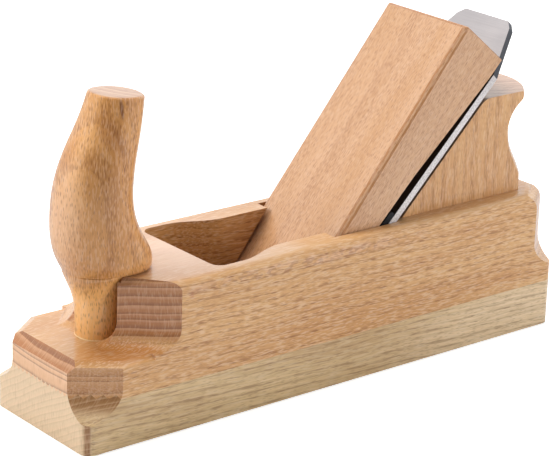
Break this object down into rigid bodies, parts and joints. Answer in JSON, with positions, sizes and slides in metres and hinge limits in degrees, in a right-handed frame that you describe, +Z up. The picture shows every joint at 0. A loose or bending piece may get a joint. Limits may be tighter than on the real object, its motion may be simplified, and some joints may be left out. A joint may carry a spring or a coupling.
{
  "type": "wooden smoothing plane",
  "caption": "Wooden smoothing hand plane with a front horn, a toothed glued sole, a hand guard and a wedged double iron.",
  "frame": {"origin": "middle of the sole's underside", "axes": "+X towards the toe, in the direction of planing, +Y towards the plane's left flank, +Z up from the sole"},
  "size_m": [0.2442, 0.062, 0.1359],
  "materials": {
    "beech": "oiled, satin",
    "hornbeam": "oiled, satin",
    "horn_beech": "oiled, satin",
    "wedge_beech": "oiled, satin",
    "tool_steel": "ground",
    "blued_steel": "blued",
    "button_steel": "turned"
  },
  "bodies": {
    "plane": {"plane_body": "beech", "sole": "hornbeam", "horn": "horn_beech", "hand_guard": "beech", "guard_dowels": "beech", "strike_button": "button_steel"},
    "iron": {"cutting_iron": "tool_steel"},
    "chip": {"chip_breaker": "blued_steel"},
    "screw": {"cap_iron_screw": "blued_steel"},
    "wedge_body": {"wedge": "wedge_beech"}
  },
  "joints": [
    {"name": "iron_slide", "type": "slide", "parent": "plane", "child": "iron", "axis": [-0.7071, 0, 0.7071], "range_m": [-0.0006, 0.06]},
    {"name": "chip_breaker_slide", "type": "slide", "parent": "iron", "child": "chip", "axis": [-0.7071, 0, 0.7071], "range_m": [0, 0.075]},
    {"name": "screw_turn", "type": "hinge", "parent": "chip", "child": "screw", "pos_m": [-0.00508, 0, 0.02976], "axis": [-0.7071, 0, -0.7071], "range_deg": [0, 450]},
    {"name": "wedge_slide", "type": "slide", "parent": "chip", "child": "wedge_body", "axis": [-0.6361, 0, 0.7716], "range_m": [0, 0.06]}
  ]
}
